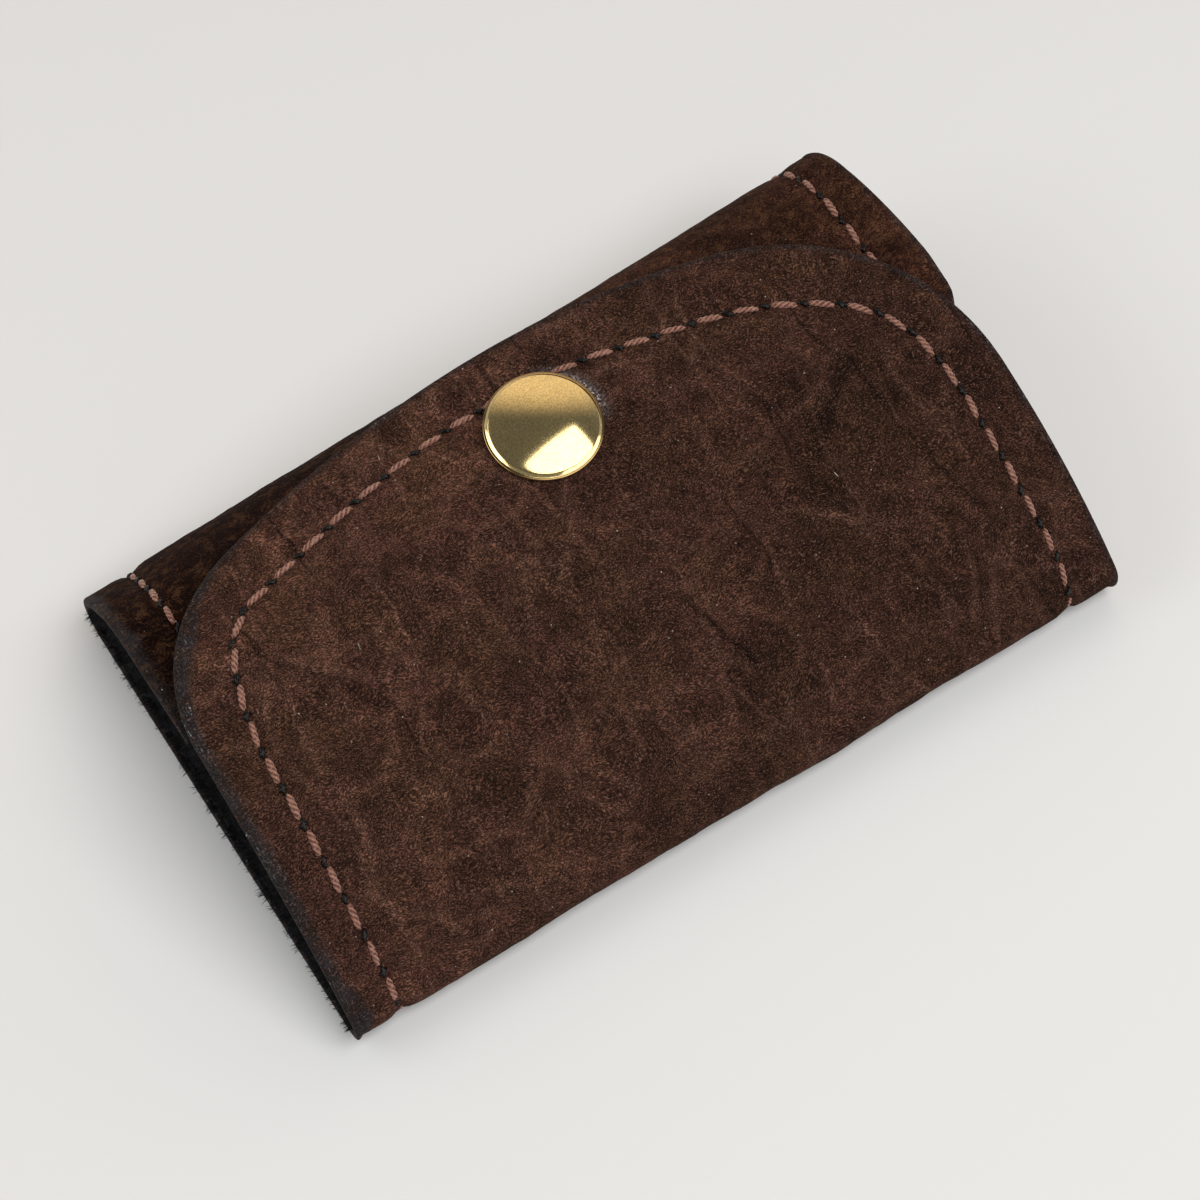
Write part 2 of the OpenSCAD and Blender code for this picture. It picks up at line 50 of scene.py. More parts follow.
# The case is one sheet of brushed hide 1.45 mm thick, folded up and over the top at the near side and
# back underneath it at the far side, and sewn round its edges. A flat place on the hide is x along the
# case and t across it, which is less than zero towards the near fold and more towards the far fold.
case_length = 112 * mm
half_length = case_length / 2
near_half = 32.8 * mm
near_fold = 8 * mm
flap_length = 65.5 * mm
flap_end = near_half + near_fold + flap_length
far_half = 24.1 * mm
far_reach = 84 * mm
inner_from = 59.57 * mm
flare_length, inner_flare = 16 * mm, 1.8 * mm
spine_from = 0.641 * inner_from
spine_to = 0.803 * inner_from
near_fold_angle = 141.983
# Each arc has its length and its turn in degrees at the open end, in the middle and over the key plate.
near_arcs = [((near_half,) * 3, (0, 0, 0)), ((near_fold,) * 3, (near_fold_angle,) * 3)]
near_arcs += [((share * flap_length,) * 3, turns) for share, turns in (
    (0.183, (9, 9, 8)), (0.183, (9, 9, 8)), (0.183, (8, 7, 5)), (0.214, (20, 8, 6)), (0.237, (17, 10, 6)))]
far_arcs = [(tuple(share * far_reach for share in shares), turns) for shares, turns in (
    ((0.345, 0.32, 0.292), (0, 0, 0)), ((0.11, 0.2, 0.22), (130, 125, 92)),
    ((0.11, 0.165, 0.211), (10, 54, 87)), ((0.115, 0.1, 0.08), (38, 8, 9)),
    ((0.105, 0.1, 0.1), (-2, 4, 9)), ((0.215, 0.115, 0.097), (4, 5, 2)))]
leather = 1.45 * mm
lining_top = leather + 0.1 * mm
stack = lining_top + 0.95 * mm


def mixed(x, stations):
    """A value that runs smoothly through three stations along the case."""
    at_open, at_mid, at_plate = stations
    share = x / half_length
    return at_mid + share * (at_plate - at_open) / 2 + share ** 2 * ((at_plate + at_open) / 2 - at_mid)


def walk(arcs, x, s):
    """How far out and how high the grain side lies, and its heading, at length s along a row of arcs."""
    out, up, heading, left = (np.zeros(len(s)) for _ in range(4))
    left += s
    for number, (lengths, turns) in enumerate(arcs):
        length, turn = mixed(x, lengths), np.radians(mixed(x, turns))
        part = np.clip(left, 0, length if number + 1 < len(arcs) else None)
        bend = turn * part / length
        chord = part * np.sinc(bend / (2 * np.pi))
        out += chord * np.cos(heading + bend / 2)
        up += chord * np.sin(heading + bend / 2)
        heading += bend
        left -= part
    return out, up, heading


def wrap(flat):
    """Folds flat places (x, t, depth below the grain side) into the closed case."""
    x, t, depth = np.asarray(flat, float).T
    side = np.where(t < 0, -1.0, 1.0)
    near, far = walk(near_arcs, x, np.maximum(-t, 0)), walk(far_arcs, x, np.maximum(t, 0))
    out, up, heading = (np.where(t < 0, a, b) for a, b in zip(near, far))
    # The soft inner flap spreads at its free corner over the key plate.
    flare = np.minimum(np.clip((t - inner_from) / flare_length, 0, 1),
                       np.sqrt(np.clip((far_reach - t) / (3 * mm), 0, 1)))
    flare *= inner_flare * np.maximum(x / half_length, 0)
    return np.stack([x + flare, side * (out - depth * np.sin(heading)), up + depth * np.cos(heading)], 1)


# The outer flap ends in a gentle curve between two round corners, the one over the key plate rounder
# than the other, and the inner flap in a slightly slanting line.
curve, open_corner, plate_corner = 120 * mm, 24 * mm, 32 * mm


def flap_edge(x):
    corner = np.where(x < 0, open_corner, plate_corner)
    corner_x = half_length - corner
    corner_t = flap_end - curve + np.sqrt((curve - corner) ** 2 - corner_x ** 2)
    middle = flap_end - curve + np.sqrt(curve ** 2 - x ** 2)
    ends = corner_t + np.sqrt(np.maximum(corner ** 2 - (np.abs(x) - corner_x) ** 2, 0))
    return -np.where(np.abs(x) < corner_x * curve / (curve - corner), middle, ends)


def inner_edge(x):
    return far_reach * mixed(x, (0.865, 0.925, 0.995))


# The needle holes run about 6.5 mm inside the edge: round the outer flap from near fold to near fold,
# along both ends through the folds, and along the inner flap's free edge. The flap's row is given as x
# and the way back from its tip, in millimetres.
flap_row = [(-50, -67.1), (-49.6, -31), (-48.5, -26.2), (-46.8, -21), (-44.1, -16.4), (-40, -15),
            (-30.8, -12.1), (-21.3, -9.5), (-11.3, -7.7), (0, -7.4), (8.4, -8.1), (17.9, -10.1),
            (27.7, -12.2), (33.1, -14), (37.2, -16), (41.4, -18.3), (45.2, -21.8), (47.4, -25.5),
            (48.6, -30.4), (49, -36), (49, -50), (49.3, -60), (48.3, -70.2)]
flap_row = np.array([(x * mm, -(flap_end + s * mm)) for x, s in flap_row])
open_row = np.array([flap_row[0], (-49.6 * mm, -30 * mm), (-49.4 * mm, 57.2 * mm), (-49.2 * mm, 63 * mm)])
plate_row = np.array([flap_row[-1], (49 * mm, -30 * mm), (50.6 * mm, 60 * mm), (49.4 * mm, 74.6 * mm)])
inset = 6.5 * mm
free_row = np.array([open_row[-1]] + [(x * mm, inner_edge(x * mm) - inset) for x in range(-46, 47, 8)]
                    + [plate_row[-1]])


def holes_along(row, count):
    """Needle holes evenly spaced along a flat line."""
    length = np.concatenate([[0], np.cumsum(np.linalg.norm(np.diff(row, axis=0), axis=1))])
    at = np.linspace(0, length[-1], count + 1)
    return np.stack([np.interp(at, length, row[:, k]) for k in range(2)], 1)


rows = [holes_along(flap_row, 40), holes_along(open_row, 21)[::-1], holes_along(free_row, 21)[::-1],
        holes_along(plate_row, 23)]
holes = np.concatenate(rows)
snap_x, snap_t = 0.6 * mm, -(flap_end - 14.2 * mm)
fold_middles = ((-near_half - near_fold / 2, 7 * mm), (spine_from, 12 * mm))


def distance(places, line):
    """Least distance from flat places to a line of points."""
    least = np.full(len(places), 1.0)
    for a, b in zip(line[:-1], line[1:]):
        along = np.clip((places - a) @ (b - a) / max(1e-12, (b - a) @ (b - a)), 0, 1)
        least = np.minimum(least, np.linalg.norm(places - a - along[:, None] * (b - a), axis=1))
    return least


def dent(away, width):
    """A rounded dent, 1 in its middle and down to a third at its width."""
    return np.exp(-(away / width) ** 2)


def folded(places, folds=fold_middles):
    """How far into a fold flat places lie, from 0 to 1."""
    return sum(dent(places[:, 1] - middle, width) for middle, width in folds)


def handled(places):
    """How deep handling has pressed waves into the grain side, most of all over the near fold."""
    wave_scale, ripple_scale = 75, 260
    waves = np.array([0.5 + 0.5 * noise.noise((x * wave_scale, t * wave_scale, 3.0)) for x, t in places])
    ripples = np.array([0.5 + 0.5 * noise.fractal((x * ripple_scale, t * ripple_scale, 7.0), 0.6, 2.1, 3)
                        for x, t in places])
    near = folded(places, fold_middles[:1])
    return (0.24 * mm + 0.7 * mm * near) * waves + 0.18 * mm * ripples


def relief(places):
    """How deep the grain side lies below the smooth path: the handling waves, the sewn groove with its
    pricked holes, pulled in deeper over the folds, and the ring that the snap's cap presses in."""
    row = np.min([distance(places, r) for r in rows], axis=0)
    hole = np.min([np.linalg.norm(places - h, axis=1) for h in holes], axis=0)
    from_snap = np.linalg.norm(places - (snap_x, snap_t), axis=1)
    pulled_in = (0.12 * mm + 0.3 * mm * folded(places)) * dent(row, 1.5 * mm)
    groove = 0.2 * mm * dent(row, 0.6 * mm)
    pricked = 0.35 * mm * dent(hole, 0.55 * mm)
    cap_mark = 0.24 * mm * dent(from_snap - 7.9 * mm, 0.8 * mm)
    return handled(places) + pulled_in + groove + pricked + cap_mark


mesh_step, pressed_edge = 0.8 * mm, 0.8 * mm


def spaced(length):
    """Shares of a length, evenly stepped, with finer steps at both ends, which are cut or sewn."""
    fine = np.array([0, 0.05, 0.13, 0.24, 0.38, 0.55, 0.8, 1.2]) * mm
    even = np.linspace(0, length, max(3, round(length / mesh_step)))
    start = np.concatenate([fine, even[even > fine[-1]]])
    return np.concatenate([start[start < length - fine[-1]], length - fine[::-1]]) / length


def columns_to(half):
    """Places along the case, finer towards both ends, with steps that suit the flap's round corners."""
    angles = np.radians(np.linspace(20, 90, 24))
    left, right = (half_length - corner * (1 - np.sin(angles)) for corner in (open_corner, plate_corner))
    inside = np.linspace(-left[0], right[0], round((left[0] + right[0]) / mesh_step))
    return np.concatenate([-left[:0:-1], inside, right[1:]]) * half / half_length


def cut_sheet(name, columns, shares, start, stop, top, bottom, free_edge=False, roundness=0.6 * mm,
              grain=relief, pile=None, fringe=None):
    """A piece of sheet between two flat lines, with its cut edges rounded, folded onto its path.
    Returns the object and the vertices along its first and last line."""
    bm = bmesh.new()
    bmesh.ops.create_grid(bm, x_segments=len(columns) - 1, y_segments=len(shares) - 1, size=0.5)
    spots = [(round((v.co.x + 0.5) * (len(columns) - 1)), round((v.co.y + 0.5) * (len(shares) - 1)))
             for v in bm.verts]
    made = bmesh.ops.extrude_face_region(bm, geom=bm.faces[:], use_keep_orig=True)["geom"]
    under = {v for v in made if isinstance(v, bmesh.types.BMVert)}
    bm.verts.index_update()
    flipped = {(round(v.co.x, 5), round(v.co.y, 5)): spot for v, spot in zip(bm.verts, spots)}
    spots = [flipped[(round(v.co.x, 5), round(v.co.y, 5))] for v in bm.verts]
    below = np.array([v in under for v in bm.verts])
    # Both faces have the grid's places, and the one below is the extruded copy.
    i, j = np.array(spots).T
    x = columns[i]
    first, last = start(x), stop(x)
    t = first + (last - first) * shares[j]
    places = np.stack([x, t], 1)
    rim = columns[-1] - np.abs(x)
    if free_edge:
        line = np.stack([columns, stop(columns)], 1)
        rim = np.minimum(rim, distance(places, line))
    sink = roundness - np.sqrt(np.maximum(roundness ** 2 - np.maximum(roundness - rim, 0) ** 2, 0))
    depth = np.where(below, bottom - sink, top + sink)
    # The relief fades out towards the cut edges, which are pressed flat.
    inside = np.clip(rim / pressed_edge, 0, 1)
    if grain:
        depth += np.where(below, 0, grain(places) * inside)
    if pile:
        depth -= np.where(below, pile(places) * inside, 0)
    flat = np.stack([x, t, depth], 1)
    if fringe:
        sheet_points = len(flat)
        loose = fringe(start, stop)
        bm.from_mesh(loose)
        bm.verts.ensure_lookup_table()
        flat = np.concatenate([flat, [v.co for v in bm.verts[sheet_points:]]])
        below = np.concatenate([below, np.full(len(loose.vertices), True)])
        rim = np.concatenate([rim, np.zeros(len(loose.vertices))])
        bpy.data.meshes.remove(loose)
    for v, place in zip(bm.verts, wrap(flat)):
        v.co = place
    bmesh.ops.recalc_face_normals(bm, faces=bm.faces)
    for e in bm.edges:
        e.smooth = e.calc_face_angle(0) < math.radians(50)
    for f in bm.faces:
        f.smooth = True
    mesh = bpy.data.meshes.new(name)
    bm.to_mesh(mesh)
    bm.free()
    mesh.attributes.new("hide", "FLOAT_VECTOR", "POINT").data.foreach_set("vector", flat.ravel())
    mesh.attributes.new("rim", "FLOAT", "POINT").data.foreach_set("value", np.where(below, 0, rim))
    piece = bpy.data.objects.new(name, mesh)
    bpy.context.scene.collection.objects.link(piece)
    return piece, np.flatnonzero(j == 0), np.flatnonzero(j == len(shares) - 1)


def line_at(t):
    return lambda x: np.full_like(x, t)


def bend_line(piece, first, last, direction):
    """The points between which a fold strip turns."""
    along = np.array([v.co for v in piece.data.vertices]) @ direction
    unit = Vector(direction) / Vector(direction).length_squared
    return unit * along[first].max(), unit * along[last].min()


def put(tree, kind, inputs=None, **settings):
    """Adds a node, sets it up, and links or sets its inputs by name or number."""
    node = tree.nodes.new("ShaderNode" + kind)
    for key, value in settings.items():
        setattr(node, key, value)
    for key, value in (inputs or {}).items():
        if isinstance(value, bpy.types.NodeSocket):
            tree.links.new(value, node.inputs[key])
        else:
            node.inputs[key].default_value = value
    return node


def new_material(name, **values):
    """A material with its Principled shader set by input name."""
    material = bpy.data.materials.new(name)
    material.use_nodes = True
    shader = material.node_tree.nodes["Principled BSDF"]
    for key, value in values.items():
        shader.inputs[key.replace("_", " ")].default_value = value
    return material, material.node_tree, shader


def ramp(tree, value, low, high, to_low=0.0, to_high=1.0):
    return put(tree, "MapRange", {0: value, 1: low, 2: high, 3: to_low, 4: to_high},
               interpolation_type="SMOOTHSTEP").outputs[0]


def tint(tree, share, first, second, mode="MIX"):
    """Mixes two colours, each a socket or a tuple, by a share."""
    return put(tree, "Mix", {0: share, 6: first, 7: second}, data_type="RGBA", blend_type=mode).outputs[2]


def maths(tree, operation, first, second=0.0):
    return put(tree, "Math", {0: first, 1: second}, operation=operation).outputs[0]


def colour(red, green, blue):
    """A display colour of 0 to 255 as the linear colour that the shader takes."""
    return tuple((c / 255 / 12.92) if c < 10.3 else ((c / 255 + 0.055) / 1.055) ** 2.4
                 for c in (red, green, blue)) + (1.0,)


# Brushed leather: a short nap over dark and light cloudy patches, with dark pebbles between pale stretch
# lines, a few long creases painted dark as the shade in their folds, dust, and grey paint on the cut
# edges that bleeds onto the grain.
nubuck, tree, shader = new_material("nubuck", Roughness=0.9, Specular_IOR_Level=0.06)
hide = put(tree, "Attribute", attribute_name="hide").outputs["Vector"]
rim = put(tree, "Attribute", attribute_name="rim").outputs["Fac"]
apart = put(tree, "SeparateXYZ", {0: hide}).outputs
sway = put(tree, "TexNoise", {"Vector": hide, "Scale": 120, "Detail": 3}).outputs["Color"]
warped = put(tree, "VectorMath", {0: hide, 1: put(tree, "VectorMath", {0: sway, "Scale": 5 * mm},
             operation="SCALE").outputs[0]}, operation="ADD").outputs[0]


def cloudy(vector, scale, detail, low=0.0, high=1.0):
    """Noise at a scale in features per metre, stretched between two of its values."""
    made = put(tree, "TexNoise", {"Vector": vector, "Scale": scale, "Detail": detail, "Roughness": 0.6})
    return ramp(tree, made.outputs["Fac"], low, high)


def lines(turn, across, along, width):
    """Thin lines that run mostly one way over the hide, broken up by a mask."""
    lying = put(tree, "Mapping", {"Vector": warped, "Rotation": (0, 0, turn), "Scale": (across, along, 1)})
    cells = put(tree, "TexVoronoi", {"Vector": lying.outputs[0], "Scale": 1}, feature="DISTANCE_TO_EDGE")
    return ramp(tree, cells.outputs["Distance"], width, 0.0)


cloud = cloudy(hide, 60, 4, 0.34, 0.66)
yellowing = cloudy(hide, 90, 3, 0.4, 0.62)
pebble = put(tree, "TexVoronoi", {"Vector": warped, "Scale": 135}, feature="F1").outputs["Distance"]
pebbled = maths(tree, "MULTIPLY", ramp(tree, pebble, 0.75, 0.12), cloudy(hide, 80, 2, 0.38, 0.6))
between = put(tree, "TexVoronoi", {"Vector": warped, "Scale": 135}, feature="DISTANCE_TO_EDGE")
ridged = maths(tree, "MULTIPLY", ramp(tree, between.outputs["Distance"], 0.14, 0.0),
               cloudy(hide, 65, 2, 0.4, 0.6))
stretch = maths(tree, "MULTIPLY", lines(0.75, 90, 24, 0.04), cloudy(hide, 55, 2, 0.42, 0.6))
stretch_across = maths(tree, "MULTIPLY", lines(-0.6, 75, 30, 0.035), cloudy(hide, 40, 2, 0.45, 0.62))
stretched = maths(tree, "MAXIMUM", stretch, stretch_across)
creased = maths(tree, "MULTIPLY", lines(0.62, 60, 9, 0.016), cloudy(hide, 33, 2, 0.46, 0.6))


def brushed_over(turn):
    """Short fibres that lie one way, across a turned direction on the hide."""
    lying = put(tree, "Mapping", {"Vector": warped, "Rotation": (0, 0, turn), "Scale": (1, 2, 1)})
    lying = lying.outputs[0]
    fibres = put(tree, "TexNoise", {"Vector": lying, "Scale": 3300, "Detail": 2.5, "Roughness": 0.7})
    return fibres.outputs["Fac"]


nap = put(tree, "Mix", {0: cloudy(hide, 210, 2, 0.44, 0.56), 2: brushed_over(0.5), 3: brushed_over(-0.7)})
nap = nap.outputs[0]
tufted = put(tree, "TexNoise", {"Vector": warped, "Scale": 600, "Detail": 3, "Roughness": 0.65})
tufted = tufted.outputs["Fac"]


def scattered(vector, scale, size, core):
    """Single specks scattered over the hide, of a size in cells, each full inside its core."""
    specks = put(tree, "TexVoronoi", {"Vector": vector, "Scale": scale}, voronoi_dimensions="2D")
    return ramp(tree, specks.outputs["Distance"], size, core)


hair_cells = put(tree, "Mapping", {"Vector": warped, "Rotation": (0, 0, 0.9), "Scale": (60, 9, 1)})
dust = maths(tree, "MULTIPLY", scattered(hide, 190, 0.022, 0.01), cloudy(hide, 300, 2, 0.44, 0.68))
hairs = scattered(hair_cells.outputs[0], 1, 0.006, 0.002)
hairs = maths(tree, "MULTIPLY", hairs, cloudy(hide, 90, 2, 0.5, 0.56))
dusty = maths(tree, "MAXIMUM", dust, hairs)
grain_colour = tint(tree, cloud, colour(58, 38, 31), colour(72, 48, 39))
grain_colour = tint(tree, maths(tree, "MULTIPLY", yellowing, 0.4), grain_colour, colour(66, 48, 31))
grain_colour = tint(tree, maths(tree, "MULTIPLY", pebbled, 0.62), grain_colour, colour(40, 25, 18))
grain_colour = tint(tree, maths(tree, "MULTIPLY", ridged, 0.5), grain_colour, colour(94, 67, 54))
grain_colour = tint(tree, maths(tree, "MULTIPLY", stretched, 0.45), grain_colour, colour(102, 75, 62))
# Painted shade: the long creases are darkened as if shade lay in them.
grain_colour = tint(tree, maths(tree, "MULTIPLY", creased, 0.7), grain_colour, colour(28, 17, 12))
# Painted shade: the colour is taken down overall and further towards the key plate. Behind the far fold
# the inner flap is painted darker and yellower as shade, most of all at the open end.
shade = ramp(tree, apart[0], -25 * mm, 40 * mm)
painted_shade_gradient = tint(tree, shade, (0.84, 0.81, 0.81, 1), (0.59, 0.56, 0.55, 1))
grain_colour = tint(tree, 1.0, grain_colour, painted_shade_gradient, "MULTIPLY")
# Painted shade on the inner flap behind the far fold, starting sooner at the open end.
shade_from = ramp(tree, apart[0], -56 * mm, 56 * mm, 28 * mm, 42 * mm)
behind_far_fold = ramp(tree, apart[1], shade_from, maths(tree, "ADD", shade_from, 12 * mm))
inner_flap_shade = tint(tree, shade, (0.18, 0.085, 0.045, 1), (1.0, 0.86, 0.8, 1))
grain_colour = tint(tree, behind_far_fold, grain_colour, tint(tree, 1.0, grain_colour, inner_flap_shade, "MULTIPLY"))
# Painted light: the outer flap is made brighter towards its tip.
painted_light_to_tip = ramp(tree, apart[1], -80 * mm, -96 * mm, 1.0, 1.16)
grain_colour = tint(tree, 1.0, grain_colour, painted_light_to_tip, "MULTIPLY")
# The paint on the cut edges soaks into the nap. The open end was painted with a fuller brush.
bleed = cloudy(hide, 420, 4)
open_end = ramp(tree, apart[0], -35 * mm, -50 * mm)
drips = maths(tree, "MULTIPLY", open_end, ramp(tree, cloudy(hide, 60, 2), 0.45, 0.75, 0.8 * mm, 2.3 * mm))
reach = maths(tree, "ADD", drips, 0.4 * mm)
soaked = maths(tree, "MULTIPLY", maths(tree, "ADD", bleed, maths(tree, "MULTIPLY", nap, 1.6)), 0.8 * mm)
paint = ramp(tree, maths(tree, "SUBTRACT", rim, soaked), reach, maths(tree, "SUBTRACT", reach, 1.7 * mm))
paint_colour = tint(tree, bleed, colour(24, 23, 24), colour(44, 41, 43))
paint_colour = tint(tree, cloudy(hide, 230, 3, 0.5, 0.62), paint_colour, colour(36, 28, 24))
grain_colour = tint(tree, maths(tree, "MULTIPLY", paint, 0.96), grain_colour, paint_colour)
for value, levels in ((nap, ((0.41, 0.4), (0.52, 0.79), (0.65, 3.4))),
                      (tufted, ((0.35, 0.68), (0.65, 1.3)))):
    fibres = put(tree, "ValToRGB", {0: value})
    stops = fibres.color_ramp.elements
    for extra in levels[2:]:
        stops.new(0.5)
    for stop, (place, level) in zip(stops, levels):
        stop.position, stop.color = place, (level, level * 0.98, level * 0.98, 1)
    share = maths(tree, "SUBTRACT", 1.0, maths(tree, "MULTIPLY", paint, 0.5))
    grain_colour = tint(tree, share, grain_colour, fibres.outputs[0], "MULTIPLY")
tips = cloudy(warped, 4600, 1, 0.6, 0.7)
tips = maths(tree, "MULTIPLY", tips, ramp(tree, behind_far_fold, 0, 1, 0.5, 0.12))
grain_colour = tint(tree, tips, grain_colour, colour(128, 98, 82))
upright = ramp(tree, maths(tree, "ADD", nap, tufted), 1.0, 1.2, 0, 0.5)
grain_colour = tint(tree, maths(tree, "MULTIPLY", upright, behind_far_fold), grain_colour, colour(84, 58, 38))
drawn_out = put(tree, "Mapping", {"Vector": hide, "Scale": (1, 0.25, 1)}).outputs[0]
scratch = put(tree, "TexNoise", {"Vector": drawn_out, "Scale": 4000, "Detail": 4, "Roughness": 0.7})
worn_paint = maths(tree, "MULTIPLY", paint, cloudy(hide, 170, 3, 0.5, 0.6))
scuffed = maths(tree, "MULTIPLY", ramp(tree, scratch.outputs["Fac"], 0.58, 0.72), worn_paint)
grain_colour = tint(tree, scuffed, grain_colour, colour(150, 148, 150))
# The cap's rim rubs a pale arc into the nap on the side of the key plate.
from_snap = put(tree, "VectorMath", {0: hide, 1: (snap_x, snap_t, 0)}, operation="SUBTRACT").outputs[0]
level_with = put(tree, "VectorMath", {0: from_snap, 1: (1, 1, 0)}, operation="MULTIPLY").outputs[0]
ring = put(tree, "VectorMath", {0: level_with}, operation="LENGTH").outputs["Value"]
sideways = put(tree, "VectorMath", {0: from_snap, 1: (0.91, -0.41, 0)}, operation="DOT_PRODUCT")
facing = maths(tree, "DIVIDE", sideways.outputs["Value"], ring)
rubbed = maths(tree, "MULTIPLY", ramp(tree, ring, 9.6 * mm, 8.2 * mm), ramp(tree, facing, 0.6, 0.92))
rubbed = maths(tree, "MULTIPLY", rubbed, ramp(tree, nap, 0.46, 0.62, 0.15, 1))
grain_colour = tint(tree, rubbed, grain_colour, colour(104, 94, 92))
burnt = maths(tree, "MULTIPLY", ramp(tree, ring, 8.7 * mm, 8.0 * mm), ramp(tree, facing, 0.7, 0.95))
burnt = maths(tree, "MULTIPLY", burnt, cloudy(hide, 3400, 2, 0.54, 0.64))
grain_colour = tint(tree, burnt, grain_colour, colour(186, 178, 177))
grain_colour = tint(tree, dusty, grain_colour, colour(182, 170, 160))
tree.links.new(grain_colour, shader.inputs["Base Color"])
tree.links.new(ramp(tree, paint, 0, 1, 0.9, 0.68), shader.inputs["Roughness"])
soft = put(tree, "Bump", {"Height": maths(tree, "SUBTRACT", maths(tree, "ADD", stretched, pebble),
           maths(tree, "MULTIPLY", creased, 1.5)), "Strength": 0.5, "Distance": 0.3 * mm}).outputs[0]
fibrous = put(tree, "Bump", {"Height": nap, "Strength": 0.7, "Distance": 0.08 * mm, "Normal": soft})
tree.links.new(fibrous.outputs[0], shader.inputs["Normal"])

# The hide is cut into panels and the strips in the folds between them, where the real case bends when it
# opens.
# Each has its limits along t, whether it ends in a cut edge, its bodies, and the way that a strip bends.
divided = (("back", -near_half, far_half, False, ["case_back"], None),
           ("near_fold", -near_half, -(near_half + near_fold), False, ["case_back", "outer_flap"], (0, 0, 1)),
           ("outer_flap", -(near_half + near_fold), flap_edge, True, ["outer_flap"], None),
           ("far_fold_lower", far_half, spine_from, False, ["case_back", "far_spine"], (0, 0, 1)),
           ("far_spine", spine_from, spine_to, False, ["far_spine"], None),
           ("far_fold_upper", spine_to, inner_from, False, ["far_spine", "inner_flap"], (0.09, -1, 0)),
           ("inner_flap", inner_from, inner_edge, True, ["inner_flap"], None))
case_columns = columns_to(half_length)
carried_by = {}
for panel, start, stop, cut, bodies, direction in divided:
    last = stop if cut else line_at(stop)
    length = abs(float(last(np.zeros(1))[0]) - start)
    name = "back_panel" if panel == "back" else panel
    piece, low, high = cut_sheet(name + "_hide", case_columns, spaced(length), line_at(start), last, 0,
                                 leather, free_edge=cut)
    piece.data.materials.append(nubuck)
    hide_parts(panel + "_leather")
    if direction:
        carried_by[panel] = bodies + list(bend_line(piece, low, high, direction))
        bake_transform(piece)
    else:
        carried_by[panel] = bodies
        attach(piece, bodies[0])

# The lining is black napped cloth, glued to the flesh side of the hide and trimmed back from its cut
# edges. It is divided as the hide is, and its nap hangs out in loose fibres at both ends of the case.
napped, tree, shader = new_material("napped_cloth", Roughness=0.95, Specular_IOR_Level=0.15,
                                    Sheen_Weight=0.3, Sheen_Roughness=0.5, Sheen_Tint=colour(90, 90, 100))
hide = put(tree, "Attribute", attribute_name="hide").outputs["Vector"]
tuft = put(tree, "TexNoise", {"Vector": hide, "Scale": 1100, "Detail": 5, "Roughness": 0.75})
tuft = tuft.outputs["Fac"]
tree.links.new(tint(tree, ramp(tree, tuft, 0.4, 0.7), colour(13, 13, 14), colour(44, 44, 47)),
               shader.inputs["Base Color"])
tree.links.new(put(tree, "Bump", {"Height": tuft, "Strength": 0.9, "Distance": 0.3 * mm}).outputs[0],
               shader.inputs["Normal"])
trim = 0.6 * mm
lined_columns = columns_to(half_length - trim)


def tufts(places):
    """How far the nap stands back from the lining's face, place by place."""
    return mm * np.array([0.12 + 0.12 * noise.noise((x * 900, t * 900, 11.0)) for x, t in places])


strands = random.Random(7)


def lay_fibre(bm, root, tip):
    """One tapering fibre from its root to its tip."""
    fibre = bmesh.ops.create_cone(bm, segments=3, radius1=0.1 * mm, radius2=0.02 * mm, depth=1)["verts"]
    turn = (tip - root).to_track_quat("Z", "Y").to_matrix().to_4x4()
    stretch_to = Matrix.Diagonal((1, 1, (tip - root).length, 1))
    bmesh.ops.transform(bm, verts=fibre, matrix=Matrix.Translation((root + tip) / 2) @ turn @ stretch_to)


fibre_gap, clump_gap, fibres_in_clump = 0.28 * mm, 0.4 * mm, 8
lowest_root, highest_root = lining_top + 0.2 * mm, stack - 0.1 * mm


def ragged(start, stop):
    """Loose fibres of the nap that stick out of both trimmed ends, on the flat hide."""
    bm = bmesh.new()
    for end in (-1, 1):
        x = end * (half_length - trim)
        first, last = float(start(np.array([x]))[0]), float(stop(np.array([x]))[0])
        for place in np.linspace(first, last, round(abs(last - first) / fibre_gap)):
            root = Vector((x - end * 0.4 * mm, place, strands.uniform(lowest_root, highest_root)))
            tip = Vector((x + end * strands.uniform(-0.1, 0.9) * mm,
                          place + strands.uniform(-0.8, 0.8) * mm,
                          root.z + strands.uniform(-0.1, 0.9) * mm))
            lay_fibre(bm, root, tip)
        # At the open end the nap also hangs out in ragged clumps.
        clumps = round(abs(last - first) / clump_gap) if end < 0 else 0
        for place in np.linspace(first, last, clumps):
            clump = Vector((x - strands.uniform(0, 1) * mm, place + strands.uniform(-0.6, 0.6) * mm,
                            lining_top + strands.uniform(0.3, 1.4) * mm))
            for fibre in range(fibres_in_clump):
                root = Vector((x + 0.5 * mm, place + strands.uniform(-0.7, 0.7) * mm,
                               strands.uniform(lowest_root - 0.05 * mm, highest_root)))
                tip = clump + Vector([strands.uniform(-0.6, 0.6) * mm for axis in range(3)])
                lay_fibre(bm, root, tip)
    loose = bpy.data.meshes.new("loose fibres")
    bm.to_mesh(loose)
    bm.free()
    return loose


